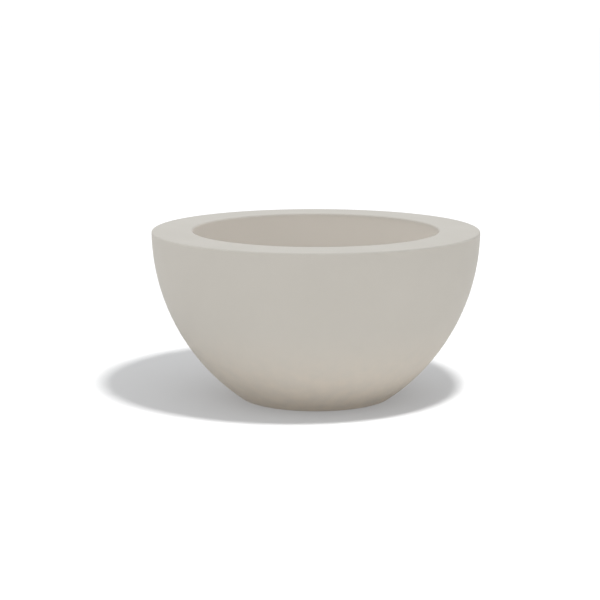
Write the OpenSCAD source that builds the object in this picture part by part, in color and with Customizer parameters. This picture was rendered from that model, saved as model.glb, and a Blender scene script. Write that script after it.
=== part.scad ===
// Round bowl planter with a wide flat rim, made of two bonded laminate skins
// Every profile is a half section: x is the distance from the axis, y the height above the floor

/* [Bowl] */
// Diameter over the rim
bowl_d = 915; // [880:5:960]
// Height from the floor to the top of the rim
bowl_h = 474; // [440:2:520]
// Width of the flat rim
rim_w = 114; // [100:2:124]
// Diameter at which the outer wall meets the foot
foot_d = 428; // [408:2:450]
// Rounding of the rim's top edges
rim_edge_r = 5; // [3:0.5:8]
// Rounding of the foot's edges
foot_edge_r = 7; // [4:0.5:9]

/* [Outer shell] */
// Thickness of the outer laminate
shell_t = 6; // [5:0.5:7]
// Depth of the lip that turns down from the rim into the opening
lip_h = 110; // [95:1:125]
// Rounding of the lip's lower edge
lip_edge_r = 1.5; // [1:0.5:2]
// Width of the ring that the bowl stands on
foot_w = 58; // [55:1:66]
// Depth of the recess under the base
recess_h = 26; // [25:1:34]
// Draft of the recess wall, in degrees
recess_draft = 10; // [5:1:15]
// Rounding of the recess's upper corner
recess_r = 10; // [6:1:14]
// Radius left in the hidden corners of the laminate
lay_r = 8; // [5:0.5:10]

/* [Inner bowl] */
// Thickness of the inner laminate
liner_t = 5; // [4:0.5:6]
// Diameter of the planting well, measured at its floor
well_d = 400; // [380:2:420]
// Radius between the well's floor and its wall
well_fillet_r = 60; // [45:1:75]
// Height of the upstand that laps behind the lip
lap_h = 45; // [35:1:55]
// Rounding of the joggle that steps the wall out behind the lip
joggle_r = 2; // [1:0.5:2.5]
// Slope of the sump's wall, as a run outwards
sump_slope = 3; // [2:0.5:5]
// Space between the drain's flange and the sump's wall
sump_gap = 3; // [2:0.5:5]
// Rounding of the sump's edges
sump_edge_r = 1.5; // [1:0.5:2]

/* [Cores and bond] */
// Thickness of the rim's stiffening ring
rim_core_t = 18; // [12:1:24]
// Thickness of the base's load-bearing disc
base_core_t = 18; // [15:1:24]
// Rounding of the cores' edges
core_edge_r = 2; // [1:0.5:3]
// Thickness of the adhesive between lip and upstand
bond_t = 2; // [1.5:0.5:3]
// How far the adhesive's edge lies back from the well's face
bond_set = 1; // [0.5:0.25:1.5]

/* [Drain] */
// Diameter of the drain's flange
flange_d = 60; // [56:1:66]
// Thickness of the drain's flange
flange_t = 5; // [4:0.5:6]
// Chamfer round the flange's top
flange_chamfer = 1; // [0.5:0.25:1.5]
// Outside diameter of the drain's tail
tail_d = 33.2; // [32:0.2:36]
// Clear bore through the tail
drain_bore_d = 25; // [22:0.5:26]
// Height of the tail's end above the foot
tail_rise = 7; // [5:0.5:10]
// Chamfer round the tail's end
tail_chamfer = 1.5; // [0.5:0.25:2]
// Diameter of the stopper's seat at the flange
seat_d = 29; // [28:0.25:29.5]
// Diameter of the stopper's seat at its lower end
seat_low_d = 27; // [26.5:0.25:27.5]
// Depth of the stopper's seat
seat_depth = 22; // [18:1:26]
// Thickness of the gasket under the flange
gasket_t = 2; // [1.5:0.5:3]
// How far the gasket's edge lies back from the flange's
gasket_set = 2; // [1:0.5:4]
// Outside diameter of the washer under the base
washer_d = 60; // [58:1:70]
// Thickness of the washer under the base
washer_t = 2; // [1:0.5:3]
// Width of the nut across its flats
nut_af = 50; // [46:1:54]
// Height of the nut
nut_h = 10; // [8:0.5:12]
// Chamfer at the nut's corners
nut_chamfer = 1.5; // [1:0.5:2.5]

/* [Stopper] */
// Diameter of the stopper's head
plug_head_d = 46; // [42:1:52]
// Thickness of the stopper's head
plug_head_t = 6; // [5:0.5:8]
// Rounding of the head's upper edge
plug_edge_r = 2; // [1:0.5:3]
// Length of the stopper's shank
plug_shank_l = 19; // [14:0.5:20]
// Taper at the shank's lower end
plug_lead = 1.5; // [1:0.25:2]
// Width of the pull tab
tab_w = 24; // [20:1:30]
// Height of the pull tab above the head
tab_h = 18; // [15:1:24]
// Thickness of the pull tab
tab_t = 6; // [4:0.5:8]
// Diameter of the finger hole in the pull tab
tab_hole_d = 11; // [9:0.5:13]

/* [Foot pads] */
// Diameter of a foot pad
pad_d = 40; // [30:1:42]
// Thickness of a foot pad, which lifts the foot off the floor
pad_t = 3; // [2:0.5:5]
// Chamfer round a foot pad's lower edge
pad_chamfer = 0.8; // [0.4:0.2:1.2]

/* [Clearances] */
// Between the adhesive and the curved laminate on each side of it
glue_gap = 0.2; // [0.1:0.05:0.3]
// Between the drain's tail and the holes in both floors
hole_gap = 0.5; // [0.3:0.1:1]
// Between the drain's tail and the rings threaded or slid onto it
thread_gap = 0.15; // [0.1:0.05:0.3]
// Between the stopper's shank and its seat
plug_gap = 0.3; // [0.25:0.05:0.5]
// Between the base core and the sump that drops into it
core_gap = 0.5; // [0.3:0.1:1]

/* [Hidden] */
$fn = 96;

// Largest rise of one step along a wall's arc, and the steps of a rounded corner
arc_step = 20;
corner_steps = 5;
fillet_steps = 12;
// How far a cutting tool runs past the face that it cuts
cut = 1;
pad_count = 4;
pad_turn = 45;
nut_sides = 6;

greige = [0.80, 0.78, 0.74];
wood = [0.74, 0.60, 0.42];
paste = [0.70, 0.68, 0.62];
black = [0.16, 0.16, 0.17];
dark_grey = [0.32, 0.32, 0.33];

// Levels above the floor, from the pads up
foot_z = pad_t;
panel_z = foot_z + recess_h;
panel_top_z = panel_z + shell_t;
core_top_z = panel_top_z + base_core_t;
floor_z = core_top_z + liner_t;
sump_z = floor_z - flange_t - gasket_t;
lip_z = bowl_h - lip_h;
shoulder_z = lip_z - bond_t;
lap_top_z = lip_z + lap_h;

// Distances from the axis
bowl_r = bowl_d / 2;
open_r = bowl_r - rim_w;
foot_r = foot_d / 2;
well_r = well_d / 2;
foot_in_r = foot_r - foot_w;
recess_top_r = foot_in_r - recess_h * tan(recess_draft);
recess_wall_t = shell_t / cos(recess_draft);
hole_r = tail_d / 2 + hole_gap;
sump_r = flange_d / 2 + sump_gap;
sump_top_r = sump_r + sump_slope;
pad_ring_r = (foot_r + foot_in_r) / 2;

// Both walls are arcs that stand upright at the rim, so their centres lie level with it
function arc_centre(top_r, low_r, low_z) =
    (pow(top_r, 2) - pow(low_r, 2) - pow(bowl_h - low_z, 2)) / (2 * (top_r - low_r));
wall_cx = arc_centre(bowl_r, foot_r, foot_z);
wall_arc_r = bowl_r - wall_cx;
well_cx = arc_centre(open_r, well_r, floor_z);
well_arc_r = open_r - well_cx;

// The lip's hidden face and the two faces of the upstand share the well's arc centre
lip_back_r = well_arc_r + shell_t;
lap_r = lip_back_r + bond_t;
lap_back_r = lap_r + liner_t;
liner_back_r = well_arc_r + liner_t;

// Centre of the fillet between the well's floor and wall
fillet_z = floor_z + well_fillet_r;
fillet_x = well_cx + sqrt(pow(well_arc_r - well_fillet_r, 2) - pow(bowl_h - fillet_z, 2));
fillet_angle = asin((fillet_z - bowl_h) / (well_arc_r - well_fillet_r));
fillet_top_z = bowl_h + well_arc_r * sin(fillet_angle);
liner_fillet_top_z = bowl_h + liner_back_r * sin(fillet_angle);

// Steps along an arc about [cx, bowl_h], from level z0 to z1, with corner radii at its ends
function wall_arc(cx, r, z0, z1, end0 = 0, end1 = 0) =
    let (a0 = asin((z0 - bowl_h) / r),
         a1 = asin((z1 - bowl_h) / r),
         n = max(2, ceil(abs(z1 - z0) / arc_step)))
    [for (i = [0 : n])
        let (a = a0 + (a1 - a0) * i / n)
        [cx + r * cos(a), bowl_h + r * sin(a), i == 0 ? end0 : i == n ? end1 : 0]];

// Steps along an arc of radius r about c, between two angles, both ends left out
function inner_steps(c, r, a0, a1) =
    [for (i = [1 : fillet_steps - 1])
        let (a = a0 + (a1 - a0) * i / fillet_steps)
        [c.x + r * cos(a), c.y + r * sin(a), 0]];

function unit(v) = v / norm(v);
function turned(v, a) = [v.x * cos(a) - v.y * sin(a), v.x * sin(a) + v.y * cos(a)];

// Arc of radius r that rounds the corner b between a and c
function corner_arc(a, b, c, r) =
    let (u = unit(a - b),
         v = unit(c - b),
         half = acos(u * v) / 2,
         centre = b + unit(u + v) * r / sin(half),
         start = b + u * r / tan(half) - centre,
         sweep = -sign(cross(u, v)) * (180 - 2 * half))
    [for (i = [0 : corner_steps]) centre + turned(start, sweep * i / corner_steps)];

function flat(p) = [p[0], p[1]];

// Closed path of [x, y, corner radius] points with its corners rounded
function rounded(path) =
    let (n = len(path))
    [for (i = [0 : n - 1])
        each path[i][2] > 0
            ? corner_arc(flat(path[(i + n - 1) % n]), flat(path[i]), flat(path[(i + 1) % n]), path[i][2])
            : [flat(path[i])]];

// Point on a wall arc at a level
function on_arc(cx, r, z) = cx + sqrt(pow(r, 2) - pow(bowl_h - z, 2));

module revolve(path) {
    rotate_extrude() polygon(rounded(path));
}

// Ring between two radii, standing on a level
module ring(outer_r, inner_r, low_z, h) {
    translate([0, 0, low_z])
        difference() {
            cylinder(r = outer_r, h = h);
            translate([0, 0, -cut]) cylinder(r = inner_r, h = h + 2 * cut);
        }
}

// One moulding: lip, flat rim, curved wall, foot ring and the recessed base panel
module outer_shell() {
    wall_back_r = wall_arc_r - shell_t;
    color(greige)
        revolve(concat(
            wall_arc(well_cx, well_arc_r, lip_z, bowl_h, lip_edge_r, rim_edge_r),
            wall_arc(wall_cx, wall_arc_r, bowl_h, foot_z, rim_edge_r, foot_edge_r),
            [
                [foot_in_r, foot_z, foot_edge_r],
                [recess_top_r, panel_z, recess_r],
                [hole_r, panel_z, 0],
                [hole_r, panel_top_z, 0],
                [recess_top_r + recess_wall_t, panel_top_z, lay_r],
                [foot_in_r + recess_wall_t, foot_z + shell_t, lay_r]
            ],
            wall_arc(wall_cx, wall_back_r, foot_z + shell_t, bowl_h - shell_t, lay_r, lay_r),
            wall_arc(well_cx, lip_back_r, bowl_h - shell_t, lip_z, lay_r, lip_edge_r)
        ));
}

// Second moulding: upstand behind the lip, joggle, well, floor and the drain's sump
module inner_bowl() {
    fillet_c = [fillet_x, fillet_z];
    sump_back_z = sump_z - liner_t;
    color(greige)
        revolve(concat(
            wall_arc(well_cx, lap_r, lap_top_z, shoulder_z, 0, joggle_r),
            wall_arc(well_cx, well_arc_r, shoulder_z, fillet_top_z, joggle_r, 0),
            inner_steps(fillet_c, well_fillet_r, fillet_angle, -90),
            [
                [fillet_x, floor_z, 0],
                [sump_top_r, floor_z, sump_edge_r],
                [sump_r, sump_z, sump_edge_r],
                [hole_r, sump_z, 0],
                [hole_r, sump_back_z, 0],
                [sump_r + liner_t, sump_back_z, sump_edge_r],
                [sump_top_r + liner_t, core_top_z, sump_edge_r],
                [fillet_x, core_top_z, 0]
            ],
            inner_steps(fillet_c, well_fillet_r + liner_t, -90, fillet_angle),
            wall_arc(well_cx, liner_back_r, liner_fillet_top_z, shoulder_z - liner_t, 0, joggle_r),
            wall_arc(well_cx, lap_back_r, shoulder_z - liner_t, lap_top_z, joggle_r, 0)
        ));
}

// Stiffening ring bonded to the rim's underside, clear of the laminate's corner radii
module rim_core() {
    top_z = bowl_h - shell_t;
    low_z = top_z - rim_core_t;
    in_r = open_r + shell_t + lay_r;
    out_r = on_arc(wall_cx, wall_arc_r - shell_t, low_z) - lay_r;
    color(wood)
        revolve([
            [in_r, low_z, core_edge_r],
            [out_r, low_z, core_edge_r],
            [out_r, top_z, core_edge_r],
            [in_r, top_z, core_edge_r]
        ]);
}

// Disc that carries the well's floor on the base panel, counterbored for the sump
module base_core() {
    seat_z = sump_z - liner_t;
    seat_r = sump_top_r + liner_t + core_gap;
    color(wood)
        revolve([
            [hole_r, panel_top_z, 0],
            [recess_top_r, panel_top_z, core_edge_r],
            [recess_top_r, core_top_z, core_edge_r],
            [seat_r, core_top_z, 0],
            [seat_r, seat_z, 0],
            [hole_r, seat_z, 0]
        ]);
}

// Adhesive in the lap joint, with the bead that fills the seam under the lip's edge
module seam_adhesive() {
    bead_r = well_arc_r + bond_set;
    front_r = lip_back_r + glue_gap;
    back_r = lap_r - glue_gap;
    color(paste)
        revolve(concat(
            wall_arc(well_cx, bead_r, shoulder_z, lip_z),
            wall_arc(well_cx, front_r, lip_z, lap_top_z),
            wall_arc(well_cx, back_r, lap_top_z, shoulder_z, 0, joggle_r)
        ));
}

// Flanged tail through both floors, with a tapered seat for the stopper
module drain_body() {
    flange_z = floor_z - flange_t;
    tail_z = foot_z + tail_rise;
    seat_z = floor_z - seat_depth;
    seat_taper = (seat_d - seat_low_d) / 2 / seat_depth;
    color(dark_grey)
        difference() {
            union() {
                translate([0, 0, flange_z])
                    cylinder(d = flange_d, h = flange_t - flange_chamfer);
                translate([0, 0, floor_z - flange_chamfer])
                    cylinder(d1 = flange_d, d2 = flange_d - 2 * flange_chamfer, h = flange_chamfer);
                translate([0, 0, tail_z + tail_chamfer])
                    cylinder(d = tail_d, h = flange_z - tail_z - tail_chamfer);
                translate([0, 0, tail_z])
                    cylinder(d1 = tail_d - 2 * tail_chamfer, d2 = tail_d, h = tail_chamfer);
            }
            translate([0, 0, tail_z - cut])
                cylinder(d = drain_bore_d, h = seat_z - tail_z + 2 * cut);
            translate([0, 0, seat_z])
                cylinder(d1 = seat_low_d, d2 = seat_d + 2 * seat_taper * cut, h = seat_depth + cut);
        }
}

module drain_gasket() {
    color(black)
        ring(flange_d / 2 - gasket_set, tail_d / 2 + thread_gap, sump_z, gasket_t);
}

module drain_washer() {
    color(dark_grey)
        ring(washer_d / 2, tail_d / 2 + thread_gap, panel_z - washer_t, washer_t);
}

// Hexagonal nut, its corners chamfered above and below
module drain_nut() {
    corner_r = nut_af / 2 / cos(180 / nut_sides);
    chamfer_r = corner_r - nut_chamfer;
    color(dark_grey)
        translate([0, 0, panel_z - washer_t - nut_h])
            difference() {
                intersection() {
                    cylinder(r = corner_r, h = nut_h, $fn = nut_sides);
                    union() {
                        cylinder(r1 = chamfer_r, r2 = corner_r, h = nut_chamfer);
                        translate([0, 0, nut_chamfer])
                            cylinder(r = corner_r, h = nut_h - 2 * nut_chamfer);
                        translate([0, 0, nut_h - nut_chamfer])
                            cylinder(r1 = corner_r, r2 = chamfer_r, h = nut_chamfer);
                    }
                }
                translate([0, 0, -cut])
                    cylinder(r = tail_d / 2 + thread_gap, h = nut_h + 2 * cut);
            }
}

// Stopper: a tapered shank in the drain's seat, a head on the flange and a tab to pull it by
module drain_plug() {
    taper = (seat_d - seat_low_d) / 2 / seat_depth;
    top_r = seat_d / 2 - plug_gap;
    low_r = top_r - plug_shank_l * taper;
    head_r = plug_head_d / 2;
    color(black) {
        revolve([
            [0, floor_z - plug_shank_l, 0],
            [low_r - plug_lead, floor_z - plug_shank_l, 0],
            [low_r, floor_z - plug_shank_l + plug_lead, 0],
            [top_r, floor_z, 0],
            [head_r, floor_z, 0],
            [head_r, floor_z + plug_head_t, plug_edge_r],
            [0, floor_z + plug_head_t, 0]
        ]);
        translate([0, tab_t / 2, floor_z + plug_head_t - cut])
            rotate([90, 0, 0])
                linear_extrude(tab_t)
                    pull_tab();
    }
}

// Outline of the pull tab: straight sides, a round top and the finger hole
module pull_tab() {
    round_y = cut + tab_h - tab_w / 2;
    difference() {
        union() {
            translate([0, round_y]) circle(d = tab_w);
            translate([-tab_w / 2, 0]) square([tab_w, round_y]);
        }
        translate([0, round_y]) circle(d = tab_hole_d);
    }
}

// One of the pads stuck to the flat of the foot ring
module foot_pad(i) {
    color(black)
        rotate(pad_turn + i * 360 / pad_count)
            translate([pad_ring_r, 0, 0]) {
                cylinder(d1 = pad_d - 2 * pad_chamfer, d2 = pad_d, h = pad_chamfer);
                translate([0, 0, pad_chamfer]) cylinder(d = pad_d, h = pad_t - pad_chamfer);
            }
}

outer_shell();
inner_bowl();
rim_core();
base_core();
seam_adhesive();
drain_body();
drain_gasket();
drain_washer();
drain_nut();
drain_plug();
foot_pad(0);  // foot_pad_1
foot_pad(1);  // foot_pad_2
foot_pad(2);  // foot_pad_3
foot_pad(3);  // foot_pad_4
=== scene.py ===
# Round bowl planter with a wide flat rim, seen in a plain studio
import math

import bmesh
import bpy
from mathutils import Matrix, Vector, noise


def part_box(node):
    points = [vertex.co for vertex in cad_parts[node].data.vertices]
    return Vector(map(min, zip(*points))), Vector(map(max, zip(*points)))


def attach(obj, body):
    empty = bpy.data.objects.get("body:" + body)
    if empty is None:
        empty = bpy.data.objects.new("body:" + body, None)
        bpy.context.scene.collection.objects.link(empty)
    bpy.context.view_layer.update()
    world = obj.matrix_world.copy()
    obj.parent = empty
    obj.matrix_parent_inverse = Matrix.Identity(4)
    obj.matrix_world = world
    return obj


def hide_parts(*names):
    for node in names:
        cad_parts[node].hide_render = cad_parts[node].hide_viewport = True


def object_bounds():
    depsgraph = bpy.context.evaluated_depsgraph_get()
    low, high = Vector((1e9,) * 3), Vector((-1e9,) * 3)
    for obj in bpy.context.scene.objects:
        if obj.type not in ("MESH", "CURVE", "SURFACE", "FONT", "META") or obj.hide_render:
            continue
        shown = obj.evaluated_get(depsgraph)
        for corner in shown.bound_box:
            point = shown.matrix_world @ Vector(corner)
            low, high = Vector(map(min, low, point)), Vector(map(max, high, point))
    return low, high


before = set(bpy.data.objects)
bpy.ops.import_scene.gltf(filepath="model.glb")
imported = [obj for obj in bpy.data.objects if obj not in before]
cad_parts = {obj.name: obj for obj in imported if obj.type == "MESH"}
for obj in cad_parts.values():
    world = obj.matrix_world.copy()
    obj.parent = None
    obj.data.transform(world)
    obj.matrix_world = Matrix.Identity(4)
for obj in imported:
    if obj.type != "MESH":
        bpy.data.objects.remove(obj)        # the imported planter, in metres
cadLow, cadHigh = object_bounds()
scene = bpy.context.scene
fullTurn = 2 * math.pi
sameSpot = 1e-6          # vertices closer than this, in metres, are one
print("frame loaded:", ", ".join(sorted(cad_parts)))


# Mesh helpers


def addObject(name, bm):
    bmesh.ops.remove_doubles(bm, verts=bm.verts, dist=sameSpot)
    bmesh.ops.recalc_face_normals(bm, faces=bm.faces)
    mesh = bpy.data.meshes.new(name)
    bm.to_mesh(mesh)
    bm.free()
    for face in mesh.polygons:
        face.use_smooth = True
    obj = bpy.data.objects.new(name, mesh)
    scene.collection.objects.link(obj)
    return obj


def finishPiece(obj, body, material, node):
    weights = obj.modifiers.new("faceWeights", "WEIGHTED_NORMAL")
    weights.weight = 80        # large faces keep their direction beside the small rounded ones
    weights.keep_sharp = True
    obj.data.materials.append(material)
    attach(obj, body)
    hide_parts(node)
    print("made", obj.name, len(obj.data.polygons), "faces")


def dressNode(name, material):
    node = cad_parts[name]
    node.data.materials.clear()
    node.data.materials.append(material)
    print("dressed", name)


def onlyVerts(items):
    return [item for item in items if isinstance(item, bmesh.types.BMVert)]


def spinRun(bm, centre, radius, angleFrom, angleTo, steps):
    # a run of vertices along an arc in the XZ plane, given by its first and last vertex
    first = bm.verts.new((
        centre[0] + radius * math.cos(angleFrom), 0,
        centre[1] + radius * math.sin(angleFrom),
    ))
    spun = bmesh.ops.spin(
        bm, geom=[first], cent=(centre[0], 0, centre[1]), axis=(0, 1, 0),
        angle=angleFrom - angleTo, steps=steps,
    )
    return first, onlyVerts(spun["geom_last"])[0]


def roundCorner(bm, vert, radius, segments):
    first, second = [edge.other_vert(vert).co - vert.co for edge in vert.link_edges]
    slide = radius / math.tan(first.angle(second) / 2)
    bmesh.ops.bevel(
        bm, geom=[vert], offset=slide, offset_type="OFFSET", segments=segments,
        profile=0.5, affect="VERTICES", material=-1,
    )


def traceProfile(parts, closed=True, cornerSegments=6, longestEdge=0.012, halvings=4):
    # a part is a point (x, z, rounding) or an arc (centre, radius, its first and last angle,
    # steps, and the roundings at its first and last end)
    bm = bmesh.new()
    runs, corners = [], []
    for part in parts:
        if len(part) == 3:
            x, z, rounding = part
            vert = bm.verts.new((x, 0, z))
            runs.append((vert, vert))
            corners.append((vert, rounding))
        else:
            centre, radius, angleFrom, angleTo, steps, roundFirst, roundLast = part
            first, last = spinRun(bm, centre, radius, angleFrom, angleTo, steps)
            runs.append((first, last))
            corners += [(first, roundFirst), (last, roundLast)]
    joints = list(zip(runs, runs[1:] + runs[:1]))
    if not closed:
        joints.pop()
    for one, following in joints:
        bm.edges.new((one[1], following[0]))
    for vert, rounding in corners:
        if rounding > 0:
            roundCorner(bm, vert, rounding, cornerSegments)
    for _ in range(halvings):
        longEdges = [edge for edge in bm.edges if edge.calc_length() > longestEdge]
        bmesh.ops.subdivide_edges(bm, edges=longEdges, cuts=1)
    return bm


def spinProfile(bm, steps):
    bmesh.ops.spin(
        bm, geom=bm.verts[:] + bm.edges[:], cent=(0, 0, 0), axis=(0, 0, 1),
        angle=fullTurn, steps=steps, use_merge=True,
    )


def growTogether(obj, other, sharpAngle=1.0):
    # the other object's solid becomes part of this one, with nothing left inside
    union = obj.modifiers.new("growTogether", "BOOLEAN")
    union.operation = "UNION"
    union.solver = "MANIFOLD"
    union.object = other
    merged = bmesh.new()
    merged.from_object(obj, bpy.context.evaluated_depsgraph_get())
    obj.modifiers.clear()
    bpy.data.objects.remove(other)
    # edges bent past the sharp angle, in radians, stay crisp, as where the two meet
    for edge in merged.edges:
        edge.smooth = edge.calc_face_angle(0) < sharpAngle
    merged.to_mesh(obj.data)
    merged.free()


# Node helpers, where a value is a number, a colour or another node's output


def newMaterial(name):
    material = bpy.data.materials.new(name)
    material.use_nodes = True
    nodes, links = material.node_tree.nodes, material.node_tree.links
    return material, nodes, links, nodes["Principled BSDF"]


def objectPlace(nodes, links, stretch=(1, 1, 1)):
    # the point on the object in metres, stretched along its axes
    place = nodes.new("ShaderNodeTexCoord")
    scale = nodes.new("ShaderNodeVectorMath")
    scale.operation = "MULTIPLY"
    scale.inputs[1].default_value = stretch
    links.new(place.outputs["Object"], scale.inputs[0])
    return scale.outputs["Vector"]


def objectHeight(nodes, links):
    split = nodes.new("ShaderNodeSeparateXYZ")
    links.new(objectPlace(nodes, links), split.inputs["Vector"])
    return split.outputs["Z"]


def axisDistance(nodes, links):
    length = nodes.new("ShaderNodeVectorMath")
    length.operation = "LENGTH"
    links.new(objectPlace(nodes, links, (1, 1, 0)), length.inputs[0])
    return length.outputs["Value"]


def objectNoise(nodes, links, scale, detail=3, roughness=0.5, stretch=(1, 1, 1)):
    field = nodes.new("ShaderNodeTexNoise")
    field.inputs["Scale"].default_value = scale
    field.inputs["Detail"].default_value = detail
    field.inputs["Roughness"].default_value = roughness
    links.new(objectPlace(nodes, links, stretch), field.inputs["Vector"])
    return field.outputs["Fac"]


def ramp(nodes, links, source, band, result):
    # runs from the first result to the second while the source crosses the band
    change = nodes.new("ShaderNodeMapRange")
    change.inputs["From Min"].default_value, change.inputs["From Max"].default_value = band
    change.inputs["To Min"].default_value, change.inputs["To Max"].default_value = result
    links.new(source, change.inputs["Value"])
    return change.outputs["Result"]


def combine(nodes, links, operation, first, second=0):
    reckon = nodes.new("ShaderNodeMath")
    reckon.operation = operation
    for socket, value in zip(reckon.inputs, (first, second)):
        if isinstance(value, bpy.types.NodeSocket):
            links.new(value, socket)
        else:
            socket.default_value = value
    return reckon.outputs["Value"]


def blendColours(nodes, links, factor, first, second, way="MIX"):
    mix = nodes.new("ShaderNodeMix")
    mix.data_type = "RGBA"
    mix.blend_type = way
    if isinstance(factor, bpy.types.NodeSocket):
        links.new(factor, mix.inputs["Factor"])
    else:
        mix.inputs["Factor"].default_value = factor
    sockets = [socket for socket in mix.inputs if socket.type == "RGBA"]
    for socket, value in zip(sockets, (first, second)):
        if isinstance(value, bpy.types.NodeSocket):
            links.new(value, socket)
        else:
            socket.default_value = (*value, 1)
    return [socket for socket in mix.outputs if socket.type == "RGBA"][0]


def tint(nodes, links, colour, share, tone):
    # multiplies the colour by the tone where the share is 1, and keeps it where the share is 0
    factor = blendColours(nodes, links, share, (1, 1, 1), tone)
    return blendColours(nodes, links, 1, colour, factor, "MULTIPLY")


def addBump(nodes, links, height, distance, strength, under=None):
    bump = nodes.new("ShaderNodeBump")
    bump.inputs["Distance"].default_value = distance
    bump.inputs["Strength"].default_value = strength
    links.new(height, bump.inputs["Height"])
    if under is not None:
        links.new(under, bump.inputs["Normal"])
    return bump.outputs["Normal"]


# Camera

cameraSetup = {
    "place": (-0.0439, -4.7549, 1.1202),
    "tiltDown": 10.108,        # degrees below the horizon
    "lens": 103.01,
    "sensor": 36.0,
    "clipEnd": 300.0,          # past the backdrop
}


def makeCamera(setup):
    data = bpy.data.cameras.new("photoCamera")
    data.lens = setup["lens"]
    data.sensor_width = setup["sensor"]
    data.clip_end = setup["clipEnd"]
    cam = bpy.data.objects.new("photoCamera", data)
    cam.location = setup["place"]
    cam.rotation_euler = (math.radians(90 - setup["tiltDown"]), 0, 0)
    scene.collection.objects.link(cam)
    scene.camera = cam
    print("camera placed")


# Studio: a floor that shines faintly, a far white ring, a soft sky and two disc lamps

studio = {
    "floorSize": 160.0,
    "floorCells": 4,
    "floorTone": 0.25,
    "floorGlow": (0.264, 0.262, 0.262),
    "farGlow": 0.67,
    "glowReach": (0.8, 3.0),   # distances between which the glow grows to its far value
    "backdropRadius": 60.0,
    "backdropHeight": 30.0,
    "backdropGlow": 1.05,
    "backdropSides": 96,
    "sky": (0.963, 0.985, 1.008),
    "horizonStrength": 0.78,
    "skyRise": (-0.18, 0, 0.98),       # how the sky brightens towards each axis
    "lampPlace": (0.660, -1.300, 3.50),
    "lampAim": (-0.12, 0.19, 0),
    "lampWatts": 402.0,
    "lampSize": 0.46,          # sets how soft the shadow's edge is
    "fillWatts": 0.80,
    "fillSize": 0.676,
    "fillShift": -0.004,       # nearer the left inside wall, which the sky lights less
    "fillTone": (1, 0.95, 0.95),
}


def makeFloorWhite(setup):
    material, nodes, links, shader = newMaterial("studioWhite")
    tone = setup["floorTone"]
    shader.inputs["Base Color"].default_value = (tone, tone, tone, 1)
    shader.inputs["Roughness"].default_value = 1
    shader.inputs["Specular IOR Level"].default_value = 0
    reach = ramp(nodes, links, axisDistance(nodes, links), setup["glowReach"], (0, 1))
    glow = blendColours(nodes, links, reach, setup["floorGlow"], (setup["farGlow"],) * 3)
    links.new(glow, shader.inputs["Emission Color"])
    shader.inputs["Emission Strength"].default_value = 1
    return material


def makeFloor(setup):
    bm = bmesh.new()
    cells = setup["floorCells"]
    bmesh.ops.create_grid(bm, x_segments=cells, y_segments=cells, size=setup["floorSize"] / 2)
    floor = addObject("studioFloor", bm)
    floor.data.materials.append(makeFloorWhite(setup))
    return floor


def makeBackdrop(setup):
    # a white ring far out closes the view, and the light passes through it
    bm = bmesh.new()
    bmesh.ops.create_circle(bm, segments=setup["backdropSides"], radius=setup["backdropRadius"])
    grown = bmesh.ops.extrude_edge_only(bm, edges=bm.edges[:])
    raised = onlyVerts(grown["geom"])
    bmesh.ops.translate(bm, verts=raised, vec=(0, 0, setup["backdropHeight"]))
    backdrop = addObject("studioBackdrop", bm)
    material, _, _, shader = newMaterial("backdropWhite")
    shader.inputs["Base Color"].default_value = (0, 0, 0, 1)
    shader.inputs["Emission Color"].default_value = (1, 1, 1, 1)
    shader.inputs["Emission Strength"].default_value = setup["backdropGlow"]
    backdrop.data.materials.append(material)
    backdrop.visible_diffuse = False
    backdrop.visible_glossy = False
    backdrop.visible_shadow = False


def makeSky(setup):
    world = bpy.data.worlds.new("studioSky")
    world.use_nodes = True
    nodes, links = world.node_tree.nodes, world.node_tree.links
    background = nodes["Background"]
    background.inputs["Color"].default_value = (*setup["sky"], 1)
    direction = nodes.new("ShaderNodeTexCoord")
    rise = nodes.new("ShaderNodeVectorMath")
    rise.operation = "DOT_PRODUCT"
    rise.inputs[1].default_value = setup["skyRise"]
    links.new(direction.outputs["Generated"], rise.inputs[0])
    level = combine(nodes, links, "ADD", rise.outputs["Value"], setup["horizonStrength"])
    links.new(combine(nodes, links, "MAXIMUM", level, 0), background.inputs["Strength"])
    scene.world = world


def makeDiscLamp(name, place, size, watts):
    data = bpy.data.lights.new(name, "AREA")
    data.shape = "DISK"
    data.size = size
    data.energy = watts
    lamp = bpy.data.objects.new(name, data)
    lamp.location = place
    lamp.visible_camera = False
    scene.collection.objects.link(lamp)
    return lamp


def makeLamps(setup, floor):
    lamp = makeDiscLamp("softLamp", setup["lampPlace"], setup["lampSize"], setup["lampWatts"])
    lamp.rotation_mode = "QUATERNION"
    fromAim = Vector(setup["lampPlace"]) - Vector(setup["lampAim"])
    lamp.rotation_quaternion = fromAim.to_track_quat("Z", "Y")
    # the lamp falls on the floor alone, so the bowl keeps the even light of the sky
    lamplit = bpy.data.collections.new("lamplit")
    lamplit.objects.link(floor)
    lamp.light_linking.receiver_collection = lamplit
    # a soft disc in the opening lifts the inside of the bowl
    fillPlace = (setup["fillShift"], 0, cadHigh[2])
    fill = makeDiscLamp("wellFill", fillPlace, setup["fillSize"], setup["fillWatts"])
    fill.data.color = setup["fillTone"]


def makeStudio(setup):
    floor = makeFloor(setup)
    makeBackdrop(setup)
    makeSky(setup)
    makeLamps(setup, floor)
    scene.view_settings.view_transform = "Standard"
    print("studio lit")


# Shared sizes, the same as the solids'

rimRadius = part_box("outer_shell")[1].x
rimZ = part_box("outer_shell")[1].z
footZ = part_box("outer_shell")[0].z
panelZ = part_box("drain_washer")[1].z
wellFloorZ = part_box("drain_body")[1].z
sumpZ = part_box("drain_gasket")[0].z
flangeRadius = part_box("drain_body")[1].x
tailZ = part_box("drain_body")[0].z


# Greige coat, shared by the shell and the planting bowl

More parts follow.
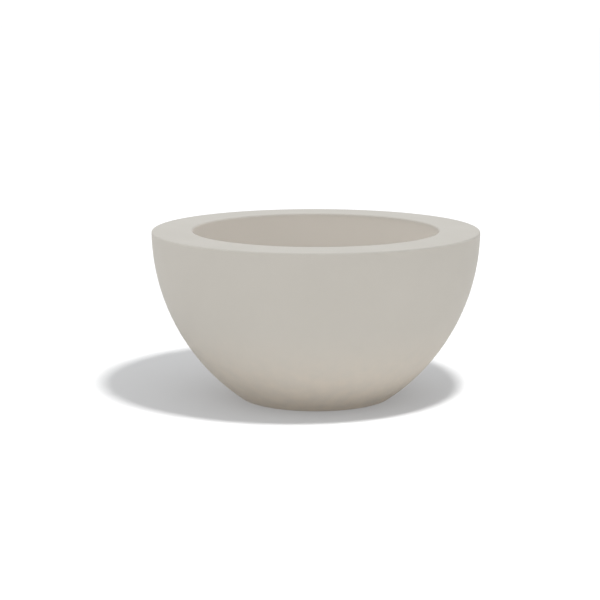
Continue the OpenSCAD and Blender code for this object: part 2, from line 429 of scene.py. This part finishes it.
coat = {
    "tone": (0.425, 0.398, 0.355),
    "patchTone": 0.965,        # how much the soft patches darken it
    "patchScale": 4.5,
    "roughness": (0.60, 0.72),
    "specular": 0.35,
    "peelScale": 300.0,        # the sprayed coat's fine texture, per metre
    "peelDepth": 0.0002,
    "peelStrength": 0.25,
    "grainScale": 1400.0,
    "grainDepth": 0.0001,
    "grainStrength": 0.2,
}

outerFinish = {
    "paintedBounceTone": (1.31, 1.21, 1.10),    # painted floor bounce light makes the foot paler and warmer
    "paintedBounceTop": 0.26,           # height up to which the painted bounce light reaches
    "paintedBounceFade": 1.4,
    "paintedBounceScale": 30.0,
    "paintedBounceThin": 0.5,           # how much is left between the blotches
    "primer": (0.30, 0.29, 0.27),
    "primerEdge": (0.149, 0.136),      # from the axis, where the coat thins out to primer
    "primerCover": 0.85,
    "sprayScale": 45.0,
    "sprayReach": 0.006,       # how far the primer's edge wanders
}

wellFinish = {
    "soilTone": (0.86, 0.82, 0.76),
    "soilTop": 0.30,           # level below which the well is a little stained
    "soilScale": 14.0,
    "soilBand": (0.35, 0.75),
    "strandScale": 90.0,       # lay-up strands that show faintly
    "strandStretches": ((0.15, 1, 1), (1, 0.15, 1), (1, 1, 0.2)),
    "strandsAtTop": 0.15,      # how much of them is left where the stains end
    "strandDepth": 0.0006,
    "strandStrength": 0.35,
}

softBand = (0.3, 0.7)          # the part of a noise's range in which a soft pattern runs


def shade(colour, factor):
    return tuple(channel * factor for channel in colour)


def coatLayers(nodes, links, shader):
    patches = objectNoise(nodes, links, coat["patchScale"], detail=4)
    darker = shade(coat["tone"], coat["patchTone"])
    colour = blendColours(nodes, links, patches, coat["tone"], darker)
    roughness = ramp(nodes, links, patches, softBand, coat["roughness"])
    links.new(roughness, shader.inputs["Roughness"])
    shader.inputs["Specular IOR Level"].default_value = coat["specular"]
    peel = objectNoise(nodes, links, coat["peelScale"], detail=2)
    grain = objectNoise(nodes, links, coat["grainScale"], detail=1)
    relief = addBump(nodes, links, peel, coat["peelDepth"], coat["peelStrength"])
    relief = addBump(nodes, links, grain, coat["grainDepth"], coat["grainStrength"], relief)
    return colour, relief


def makeCoat(look):
    material, nodes, links, shader = newMaterial("greigeCoat")
    colour, relief = coatLayers(nodes, links, shader)
    # painted floor bounce light round the foot, paler and warmer, in blotches like dust
    rise = ramp(nodes, links, objectHeight(nodes, links), (footZ, look["paintedBounceTop"]), (1, 0))
    fade = combine(nodes, links, "POWER", rise, look["paintedBounceFade"])
    speckle = objectNoise(nodes, links, look["paintedBounceScale"], detail=5)
    blotches = ramp(nodes, links, speckle, softBand, (look["paintedBounceThin"], 1))
    paintedBounce = combine(nodes, links, "MULTIPLY", fade, blotches)
    colour = tint(nodes, links, colour, paintedBounce, look["paintedBounceTone"])
    # the coat thins out to bare primer inside the recess under the base
    spray = objectNoise(nodes, links, look["sprayScale"], detail=6)
    wander = ramp(nodes, links, spray, softBand, (-look["sprayReach"], look["sprayReach"]))
    reach = combine(nodes, links, "ADD", axisDistance(nodes, links), wander)
    bare = ramp(nodes, links, reach, look["primerEdge"], (0, look["primerCover"]))
    colour = blendColours(nodes, links, bare, colour, look["primer"])
    links.new(colour, shader.inputs["Base Color"])
    links.new(relief, shader.inputs["Normal"])
    return material


def makeWellCoat(look):
    material, nodes, links, shader = newMaterial("greigeWellCoat")
    colour, relief = coatLayers(nodes, links, shader)
    # faint stains, and strands of the lay-up, grow stronger towards the floor
    depth = ramp(nodes, links, objectHeight(nodes, links), (look["soilTop"], wellFloorZ), (0, 1))
    clouds = objectNoise(nodes, links, look["soilScale"], detail=6)
    blotches = ramp(nodes, links, clouds, look["soilBand"], (0, 1))
    stain = combine(nodes, links, "MULTIPLY", depth, blotches)
    links.new(tint(nodes, links, colour, stain, look["soilTone"]), shader.inputs["Base Color"])
    height = None
    for stretch in look["strandStretches"]:
        strands = objectNoise(nodes, links, look["strandScale"], detail=3, stretch=stretch)
        height = strands if height is None else combine(nodes, links, "ADD", height, strands)
    share = combine(nodes, links, "ADD", depth, look["strandsAtTop"])
    shown = combine(nodes, links, "MULTIPLY", height, share)
    relief = addBump(nodes, links, shown, look["strandDepth"], look["strandStrength"], relief)
    links.new(relief, shader.inputs["Normal"])
    return material


# Rubber and moulded fitting: a dark tone with paler mottling and a fine grain

rubber = {
    "tone": (0.022, 0.022, 0.024),
    "mottleTone": (0.060, 0.058, 0.055),    # pale bloom that rubber gathers
    "mottleScale": 55.0,
    "roughness": (0.62, 0.85),
    "grainScale": 1800.0,
    "grainDepth": 0.0001,
}

fitting = {
    "tone": (0.026, 0.027, 0.029),
    "mottleTone": (0.055, 0.055, 0.056),    # worn places
    "mottleScale": 40.0,
    "roughness": (0.38, 0.58),
    "grainScale": 2600.0,
    "grainDepth": 0.00006,
}

mottling = {
    "noiseRoughness": 0.65,
    "toneBand": (0.42, 0.72),
    "glossBand": (0.35, 0.7),
    "grainStrength": 0.35,
}


def makeMottled(name, look):
    material, nodes, links, shader = newMaterial(name)
    mottle = objectNoise(
        nodes, links, look["mottleScale"], detail=6, roughness=mottling["noiseRoughness"],
    )
    spread = ramp(nodes, links, mottle, mottling["toneBand"], (0, 1))
    colour = blendColours(nodes, links, spread, look["tone"], look["mottleTone"])
    links.new(colour, shader.inputs["Base Color"])
    roughness = ramp(nodes, links, mottle, mottling["glossBand"], look["roughness"])
    links.new(roughness, shader.inputs["Roughness"])
    grain = objectNoise(nodes, links, look["grainScale"], detail=2)
    relief = addBump(nodes, links, grain, look["grainDepth"], mottling["grainStrength"])
    links.new(relief, shader.inputs["Normal"])
    return material


# Adhesive and core board

paste = {
    "tone": (0.44, 0.42, 0.37),
    "dark": (0.36, 0.34, 0.30),
    "roughness": 0.75,
    "mottleScale": 120.0,
    "mottleDepth": 0.0004,
    "mottleStrength": 0.3,
    "poreScale": 900.0,
    "poreWidth": 0.16,
    "poreDepth": 0.0002,
    "poreStrength": 0.5,
}

board = {
    "tone": (0.46, 0.31, 0.17),
    "dark": (0.30, 0.19, 0.10),
    "roughness": (0.68, 0.9),
    "plyStep": 0.0032,         # height of two plies on a board's edge
    "plyContrast": 0.55,
    "grainScale": 26.0,
    "grainStretch": (1, 14, 14),
    "grainRoughness": 0.7,
    "grainShift": 0.5,         # raises the grain's values before they darken the plies
    "grainDepth": 0.0003,
    "grainStrength": 0.4,
}


def makePaste(look):
    material, nodes, links, shader = newMaterial("bondPaste")
    mottle = objectNoise(nodes, links, look["mottleScale"], detail=5)
    colour = blendColours(nodes, links, mottle, look["tone"], look["dark"])
    links.new(colour, shader.inputs["Base Color"])
    shader.inputs["Roughness"].default_value = look["roughness"]
    pores = nodes.new("ShaderNodeTexVoronoi")
    pores.inputs["Scale"].default_value = look["poreScale"]
    links.new(objectPlace(nodes, links), pores.inputs["Vector"])
    pits = ramp(nodes, links, pores.outputs["Distance"], (0, look["poreWidth"]), (0, 1))
    relief = addBump(nodes, links, pits, look["poreDepth"], look["poreStrength"])
    relief = addBump(nodes, links, mottle, look["mottleDepth"], look["mottleStrength"], relief)
    links.new(relief, shader.inputs["Normal"])
    return material


def makeBoard(look):
    material, nodes, links, shader = newMaterial("coreBoard")
    grain = objectNoise(
        nodes, links, look["grainScale"], detail=8, roughness=look["grainRoughness"],
        stretch=look["grainStretch"],
    )
    perPair = fullTurn / look["plyStep"]
    plies = combine(nodes, links, "MULTIPLY", objectHeight(nodes, links), perPair)
    waves = combine(nodes, links, "SINE", plies)
    bands = ramp(nodes, links, waves, (-1, 1), (0, look["plyContrast"]))
    raised = combine(nodes, links, "ADD", grain, look["grainShift"])
    mixed = combine(nodes, links, "MULTIPLY", bands, raised)
    colour = blendColours(nodes, links, mixed, look["tone"], look["dark"])
    links.new(colour, shader.inputs["Base Color"])
    links.new(ramp(nodes, links, grain, softBand, look["roughness"]), shader.inputs["Roughness"])
    relief = addBump(nodes, links, grain, look["grainDepth"], look["grainStrength"])
    links.new(relief, shader.inputs["Normal"])
    return material


# Sizes of the two mouldings and the adhesive between them, in metres and degrees

shell = {
    "rimWidth": 0.114,
    "footRadius": 0.214,
    "footWidth": 0.058,
    "thickness": 0.006,
    "lipDepth": 0.110,
    "rimRounding": 0.005,
    "footRounding": 0.007,
    "lipRounding": 0.0015,
    "recessDraft": 10.0,
    "recessRounding": 0.010,
    "hiddenRounding": 0.008,
    "drainHole": 0.0171,
    "wallSteps": 56,
    "innerWallSteps": 24,
    "lipSteps": 15,
    "lipBackSteps": 6,
    "turnSteps": 240,
}

well = {
    "floorRadius": 0.200,
    "filletRadius": 0.060,
    "thickness": 0.005,
    "lapHeight": 0.045,
    "lapRounding": 0.001,
    "joggleRounding": 0.002,
    "sumpClearance": 0.003,
    "sumpSlope": 0.003,
    "sumpRounding": 0.0015,
    "wallSteps": 48,
    "undersideSteps": 20,
    "lapSteps": 6,
    "lapBackSteps": 5,
    "filletSteps": 12,
    "turnSteps": 216,
}

bead = {
    "thickness": 0.002,
    "setBack": 0.001,
    "clearance": 0.0002,
    "hollow": 0.0004,          # how far the tooled face sinks between its edges
    "wander": 0.00025,
    "wanderScale": 60,
    "faceSteps": 6,
    "lipSideSteps": 5,
    "bowlSideSteps": 6,
    "longestEdge": 0.02,
    "turnSteps": 216,
}


def wallCentre(topRadius, lowRadius, lowZ):
    # both walls are arcs that stand upright at the rim, so their centres lie level with it
    rise = rimZ - lowZ
    return (topRadius ** 2 - lowRadius ** 2 - rise ** 2) / (2 * (topRadius - lowRadius))


def wallRun(centreX, radius, zFrom, zTo, steps, roundFirst=0, roundLast=0):
    angleFrom = math.asin((zFrom - rimZ) / radius)
    angleTo = math.asin((zTo - rimZ) / radius)
    return (centreX, rimZ), radius, angleFrom, angleTo, steps, roundFirst, roundLast


openRadius = rimRadius - shell["rimWidth"]
wallX = wallCentre(rimRadius, shell["footRadius"], footZ)
wallRadius = rimRadius - wallX
wellX = wallCentre(openRadius, well["floorRadius"], wellFloorZ)
wellArcRadius = openRadius - wellX
lipZ = rimZ - shell["lipDepth"]
shoulderZ = lipZ - bead["thickness"]
lapTopZ = lipZ + well["lapHeight"]
lipBackRadius = wellArcRadius + shell["thickness"]
lapRadius = lipBackRadius + bead["thickness"]


# Outer shell: lip, flat rim, wall, foot ring and recessed panel in one moulding


def makeShell(material):
    thick, hole = shell["thickness"], shell["drainHole"]
    footInner = shell["footRadius"] - shell["footWidth"]
    draft = math.radians(shell["recessDraft"])
    recessTop = footInner - (panelZ - footZ) * math.tan(draft)
    recessWall = thick / math.cos(draft)
    innerRadius, innerTopZ, innerLowZ = wallRadius - thick, rimZ - thick, footZ + thick
    lip, rim, foot = shell["lipRounding"], shell["rimRounding"], shell["footRounding"]
    hidden = shell["hiddenRounding"]
    profile = traceProfile([
        wallRun(wellX, wellArcRadius, lipZ, rimZ, shell["lipSteps"], lip, rim),
        wallRun(wallX, wallRadius, rimZ, footZ, shell["wallSteps"], rim, foot),
        (footInner, footZ, foot),
        (recessTop, panelZ, shell["recessRounding"]),
        (hole, panelZ, 0),
        (hole, panelZ + thick, 0),
        (recessTop + recessWall, panelZ + thick, hidden),
        (footInner + recessWall, innerLowZ, hidden),
        wallRun(
            wallX, innerRadius, innerLowZ, innerTopZ, shell["innerWallSteps"], hidden, hidden,
        ),
        wallRun(wellX, lipBackRadius, innerTopZ, lipZ, shell["lipBackSteps"], hidden, lip),
    ])
    spinProfile(profile, shell["turnSteps"])
    shellPiece = addObject("outerShell", profile)
    finishPiece(shellPiece, "planter", material, "outer_shell")


# Planting bowl: upstand behind the lip, joggle, well, floor and sump


def makePlantingBowl(material):
    thick, fillet, hole = well["thickness"], well["filletRadius"], shell["drainHole"]
    filletZ = wellFloorZ + fillet
    filletX = wellX + math.sqrt((wellArcRadius - fillet) ** 2 - (rimZ - filletZ) ** 2)
    filletAngle = math.asin((filletZ - rimZ) / (wellArcRadius - fillet))
    down = -math.pi / 2
    backRadius = wellArcRadius + thick
    filletTopZ = rimZ + wellArcRadius * math.sin(filletAngle)
    filletBackZ = rimZ + backRadius * math.sin(filletAngle)
    shoulderBackZ = shoulderZ - thick
    sumpRadius = flangeRadius + well["sumpClearance"]
    sumpTop = sumpRadius + well["sumpSlope"]
    lap, joggle, sump = well["lapRounding"], well["joggleRounding"], well["sumpRounding"]
    centre, steps = (filletX, filletZ), well["filletSteps"]
    profile = traceProfile([
        wallRun(wellX, lapRadius, lapTopZ, shoulderZ, well["lapSteps"], lap, joggle),
        wallRun(wellX, wellArcRadius, shoulderZ, filletTopZ, well["wallSteps"], joggle, 0),
        (centre, fillet, filletAngle, down, steps, 0, 0),
        (sumpTop, wellFloorZ, sump),
        (sumpRadius, sumpZ, sump),
        (hole, sumpZ, 0),
        (hole, sumpZ - thick, 0),
        (sumpRadius + thick, sumpZ - thick, sump),
        (sumpTop + thick, wellFloorZ - thick, sump),
        (centre, fillet + thick, down, filletAngle, steps, 0, 0),
        wallRun(
            wellX, backRadius, filletBackZ, shoulderBackZ, well["undersideSteps"], 0, joggle,
        ),
        wallRun(
            wellX, lapRadius + thick, shoulderBackZ, lapTopZ, well["lapBackSteps"], joggle, lap,
        ),
    ])
    spinProfile(profile, well["turnSteps"])
    bowl = addObject("plantingBowl", profile)
    finishPiece(bowl, "planter", material, "inner_bowl")


# Adhesive in the lap joint: a tooled bead shows under the lip's edge


def makeBead(material):
    gap = bead["clearance"]
    faceRadius = wellArcRadius + bead["setBack"]
    lipSide, bowlSide = lipBackRadius + gap, lapRadius - gap
    joggle = well["joggleRounding"]
    profile = traceProfile([
        wallRun(wellX, faceRadius, shoulderZ, lipZ, bead["faceSteps"]),
        wallRun(wellX, lipSide, lipZ, lapTopZ, bead["lipSideSteps"]),
        wallRun(wellX, bowlSide, lapTopZ, shoulderZ, bead["bowlSideSteps"], 0, joggle),
    ], longestEdge=bead["longestEdge"])
    spinProfile(profile, bead["turnSteps"])
    # the face between its two edges is hollowed, and wanders a little as tooled by hand
    for vert in profile.verts:
        flat = vert.co.xy
        share = (vert.co.z - shoulderZ) / (lipZ - shoulderZ)
        if 0 < share < 1 and flat.length < wellX + faceRadius:
            sink = bead["hollow"] * 4 * share * (1 - share)
            drift = noise.noise(vert.co * bead["wanderScale"])
            wander = bead["wander"] * drift * math.sin(math.pi * share)
            flat += flat.normalized() * (sink + wander)
            vert.co.x, vert.co.y = flat
    beadPiece = addObject("seamBead", profile)
    finishPiece(beadPiece, "planter", material, "seam_adhesive")


# Drain: threaded tail with its flange, and the taper in which the stopper sits

drain = {
    "tailRadius": 0.0166,
    "tailRounding": 0.0005,
    "boreRadius": 0.0125,
    "flangeThickness": 0.005,
    "flangeRounding": 0.0012,
    "flangeLowRounding": 0.0005,
    "flangeBackRounding": 0.0004,
    "seatRadius": 0.0145,
    "seatRounding": 0.0006,
    "seatLowRadius": 0.0135,
    "seatLowRounding": 0.0003,
    "seatDepth": 0.022,
    "threadPitch": 0.0023,
    "threadDepth": 0.0009,
    "threadRow": 0.00024,      # height of one row of the thread's faces
    "threadMargin": 0.0015,    # left plain at both ends
    "threadRunIn": 0.002,      # height over which the thread deepens
    "threadReach": 1e-5,       # how far from the tail's radius a vertex still lies on it
    "clampClearance": 0.00015,
    "cornerSegments": 4,
    "turnSteps": 120,
}

clampBore = drain["tailRadius"] + drain["clampClearance"]    # of gasket, washer and nut


def makeDrain(material):
    flangeZ = wellFloorZ - drain["flangeThickness"]
    seatZ = wellFloorZ - drain["seatDepth"]
    tail, depth = drain["tailRadius"], drain["threadDepth"]
    low, high = tailZ + drain["threadMargin"], flangeZ - drain["threadMargin"]
    rows = round((high - low) / drain["threadRow"])
    threadRows = [(tail, low + (high - low) * row / rows, 0) for row in range(rows + 1)]
    profile = traceProfile([
        (drain["boreRadius"], tailZ, drain["tailRounding"]),
        (tail - depth, tailZ, drain["tailRounding"]),
        *threadRows,
        (tail, flangeZ, drain["flangeBackRounding"]),
        (flangeRadius, flangeZ, drain["flangeLowRounding"]),
        (flangeRadius, wellFloorZ, drain["flangeRounding"]),
        (drain["seatRadius"], wellFloorZ, drain["seatRounding"]),
        (drain["seatLowRadius"], seatZ, 0),
        (drain["boreRadius"], seatZ, drain["seatLowRounding"]),
    ], cornerSegments=drain["cornerSegments"])
    spinProfile(profile, drain["turnSteps"])
    # the groove of the thread winds round the tail
    for vert in profile.verts:
        flat = vert.co.xy
        onTail = abs(flat.length - tail) < drain["threadReach"]
        if onTail and low < vert.co.z < high:
            turn = vert.co.z / drain["threadPitch"] - math.atan2(flat.y, flat.x) / fullTurn
            groove = depth * (0.5 - 0.5 * math.cos(fullTurn * turn))
            runIn = min(1, (vert.co.z - low) / drain["threadRunIn"])
            flat -= flat.normalized() * groove * runIn
            vert.co.x, vert.co.y = flat
    drainPiece = addObject("drainTail", profile)
    finishPiece(drainPiece, "planter", material, "drain_body")


# Gasket under the drain's flange, and washer and nut under the panel

gasket = {
    "rounding": 0.0008,
    "boreRounding": 0.0002,
    "cornerSegments": 5,
}

washer = {
    "rounding": 0.0004,
    "boreRounding": 0.0002,
    "cornerSegments": 5,
}

nut = {
    "sides": 6,
    "chamfer": 0.0015,
    "chamferRounding": 0.0003,
    "boreRounding": 0.0006,
    "cornerRounding": 0.0006,  # how much shorter than sharp its corners are
    "cornerSegments": 4,
    "longestEdge": 0.0015,
    "turnSteps": 240,
}


def makeRing(name, node, material, ring):
    low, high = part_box(node)
    profile = traceProfile([
        (clampBore, low.z, ring["boreRounding"]),
        (high.x, low.z, ring["rounding"]),
        (high.x, high.z, ring["rounding"]),
        (clampBore, high.z, ring["boreRounding"]),
    ], cornerSegments=ring["cornerSegments"])
    spinProfile(profile, drain["turnSteps"])
    finishPiece(addObject(name, profile), "planter", material, node)


def makeNut(material):
    low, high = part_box("drain_nut")
    cornerRadius, flatHalf = high.x, high.y
    chamfer, rounding = nut["chamfer"], nut["chamferRounding"]
    profile = traceProfile([
        (clampBore, low.z, nut["boreRounding"]),
        (cornerRadius - chamfer, low.z, rounding),
        (cornerRadius, low.z + chamfer, rounding),
        (cornerRadius, high.z - chamfer, rounding),
        (cornerRadius - chamfer, high.z, rounding),
        (clampBore, high.z, nut["boreRounding"]),
    ], cornerSegments=nut["cornerSegments"], longestEdge=nut["longestEdge"])
    spinProfile(profile, nut["turnSteps"])
    # what stands past the flats is drawn in to them
    sideTurn = 360 / nut["sides"]
    for vert in profile.verts:
        flat = vert.co.xy
        fromFlat = math.degrees(math.atan2(flat.y, flat.x)) % sideTurn - sideTurn / 2
        reach = flatHalf / math.cos(math.radians(fromFlat))
        reach = min(reach, cornerRadius - nut["cornerRounding"])
        if flat.length > reach:
            flat *= reach / flat.length
            vert.co.x, vert.co.y = flat
    nutPiece = addObject("drainNut", profile)
    finishPiece(nutPiece, "planter", material, "drain_nut")


# Stopper: ribbed shank, head and a pull tab with a finger hole

stopper = {
    "shankLength": 0.019,
    "seatGap": 0.0003,
    "lead": 0.0015,
    "leadRounding": 0.0005,
    "neckRounding": 0.0002,
    "headRadius": 0.023,
    "headThickness": 0.006,
    "headRounding": 0.002,
    "headLowRounding": 0.0006,
    "ribs": 3,
    "firstRib": 0.8,           # above the shank's end, in rib pitches
    "ribPitch": 0.005,
    "ribHeight": 0.00025,
    "ribWidth": 0.0016,
    "ribRounding": 0.0005,
    "ribFootRounding": 0.0003,
    "cornerSegments": 5,
    "longestEdge": 0.003,
    "turnSteps": 120,
}

pullTab = {
    "width": 0.024,
    "thickness": 0.006,
    "height": 0.018,
    "sunk": 0.002,             # how deep its foot starts inside the head
    "hole": 0.0055,
    "rounding": 0.0014,
    "roundSegments": 5,
    "sharpAngle": 1.2,         # bends sharper than this, in radians, are rounded
    "archSteps": 32,
    "holeSteps": 48,
    "longestEdge": 0.003,
    "straightCuts": 7,
}


def shankRadius(z):
    share = (z - (wellFloorZ - drain["seatDepth"])) / drain["seatDepth"]
    seat = drain["seatLowRadius"] + share * (drain["seatRadius"] - drain["seatLowRadius"])
    return seat - stopper["seatGap"]


def makeTab(headZ):
    half, thick = pullTab["width"] / 2, pullTab["thickness"]
    centreZ = headZ + pullTab["height"] - half
    lowZ = headZ - pullTab["sunk"]
    bm = bmesh.new()
    # the outline is an arch on two straight sides and a straight foot
    first, last = spinRun(bm, (0, centreZ), half, 0, math.pi, pullTab["archSteps"])
    left, right = [bm.verts.new((x, 0, lowZ)) for x in (-half, half)]
    for one, other in ((last, left), (left, right), (right, first)):
        bm.edges.new((one, other))
    straight = [edge for edge in bm.edges if edge.calc_length() > pullTab["longestEdge"]]
    bmesh.ops.subdivide_edges(bm, edges=straight, cuts=pullTab["straightCuts"])
    # the finger hole's last vertex lies one step before the first
    steps = pullTab["holeSteps"] - 1
    lastAngle = fullTurn * steps / pullTab["holeSteps"]
    first, last = spinRun(bm, (0, centreZ), pullTab["hole"], 0, lastAngle, steps)
    bm.edges.new((last, first))
    bmesh.ops.bridge_loops(bm, edges=bm.edges[:])
    bmesh.ops.translate(bm, verts=bm.verts, vec=(0, -thick / 2, 0))
    grown = bmesh.ops.extrude_face_region(bm, geom=bm.faces[:])
    bmesh.ops.translate(bm, verts=onlyVerts(grown["geom"]), vec=(0, thick, 0))
    bmesh.ops.recalc_face_normals(bm, faces=bm.faces)
    sharp = [edge for edge in bm.edges if edge.calc_face_angle(0) > pullTab["sharpAngle"]
             and abs(edge.verts[0].co.y - edge.verts[1].co.y) < sameSpot]
    bmesh.ops.bevel(
        bm, geom=sharp, offset=pullTab["rounding"], segments=pullTab["roundSegments"],
        profile=0.5, affect="EDGES", material=-1,
    )
    return bm


def makeStopper(material):
    lowZ = wellFloorZ - stopper["shankLength"]
    headZ = wellFloorZ + stopper["headThickness"]
    lowRadius, wide = shankRadius(lowZ), stopper["ribWidth"] / 2
    lead, leadRounding = stopper["lead"], stopper["leadRounding"]
    ribs = []
    for index in range(stopper["ribs"]):
        z = lowZ + stopper["ribPitch"] * (index + stopper["firstRib"])
        ribs += [
            (shankRadius(z - wide), z - wide, stopper["ribFootRounding"]),
            (shankRadius(z) + stopper["ribHeight"], z, stopper["ribRounding"]),
            (shankRadius(z + wide), z + wide, stopper["ribFootRounding"]),
        ]
    profile = traceProfile([
        (0, lowZ, 0),
        (lowRadius - lead, lowZ, leadRounding),
        (lowRadius, lowZ + lead, leadRounding),
        *ribs,
        (shankRadius(wellFloorZ), wellFloorZ, stopper["neckRounding"]),
        (stopper["headRadius"], wellFloorZ, stopper["headLowRounding"]),
        (stopper["headRadius"], headZ, stopper["headRounding"]),
        (0, headZ, 0),
    ], closed=False, cornerSegments=stopper["cornerSegments"], longestEdge=stopper["longestEdge"])
    spinProfile(profile, stopper["turnSteps"])
    plug = addObject("stopper", profile)
    growTogether(plug, addObject("pullTab", makeTab(headZ)))
    finishPiece(plug, "plug", material, "drain_plug")


# Foot pads: rubber discs with grooved treads

pad = {
    "count": 4,
    "chamfer": 0.0008,
    "chamferRounding": 0.0003,
    "topRounding": 0.0004,
    "grooves": (0.006, 0.012),     # inner radius of each groove
    "grooveWidth": 0.0016,
    "grooveDepth": 0.0006,
    "grooveRounding": 0.0002,
    "cornerSegments": 4,
    "longestEdge": 0.003,
    "turnSteps": 96,
}


def makePad(number, material):
    node = "foot_pad_" + str(number)
    low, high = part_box(node)
    radius = (high.x - low.x) / 2
    chamfer, rounding = pad["chamfer"], pad["grooveRounding"]
    tread = [(0, low.z, 0)]
    for inner in pad["grooves"]:
        outer, deep = inner + pad["grooveWidth"], low.z + pad["grooveDepth"]
        tread += [
            (inner, low.z, rounding), (inner, deep, rounding),
            (outer, deep, rounding), (outer, low.z, rounding),
        ]
    profile = traceProfile([
        *tread,
        (radius - chamfer, low.z, pad["chamferRounding"]),
        (radius, low.z + chamfer, pad["chamferRounding"]),
        (radius, high.z, pad["topRounding"]),
        (0, high.z, 0),
    ], closed=False, cornerSegments=pad["cornerSegments"], longestEdge=pad["longestEdge"])
    spinProfile(profile, pad["turnSteps"])
    bmesh.ops.translate(
        profile, verts=profile.verts,
        vec=((low.x + high.x) / 2, (low.y + high.y) / 2, 0),
    )
    padPiece = addObject("footPad" + str(number), profile)
    finishPiece(padPiece, "planter", material, node)


# The whole planter

makeCamera(cameraSetup)
makeStudio(studio)

coatMaterial = makeCoat(outerFinish)
wellMaterial = makeWellCoat(wellFinish)
pasteMaterial = makePaste(paste)
rubberMaterial = makeMottled("blackRubber", rubber)
fittingMaterial = makeMottled("mouldedFitting", fitting)
boardMaterial = makeBoard(board)
print("materials made")

makeShell(coatMaterial)
makePlantingBowl(wellMaterial)
makeBead(pasteMaterial)
makeDrain(fittingMaterial)
makeRing("drainGasket", "drain_gasket", rubberMaterial, gasket)
makeRing("drainWasher", "drain_washer", fittingMaterial, washer)
makeNut(fittingMaterial)
makeStopper(rubberMaterial)
for number in range(1, pad["count"] + 1):
    makePad(number, rubberMaterial)
for name in ("rim_core", "base_core"):
    dressNode(name, boardMaterial)
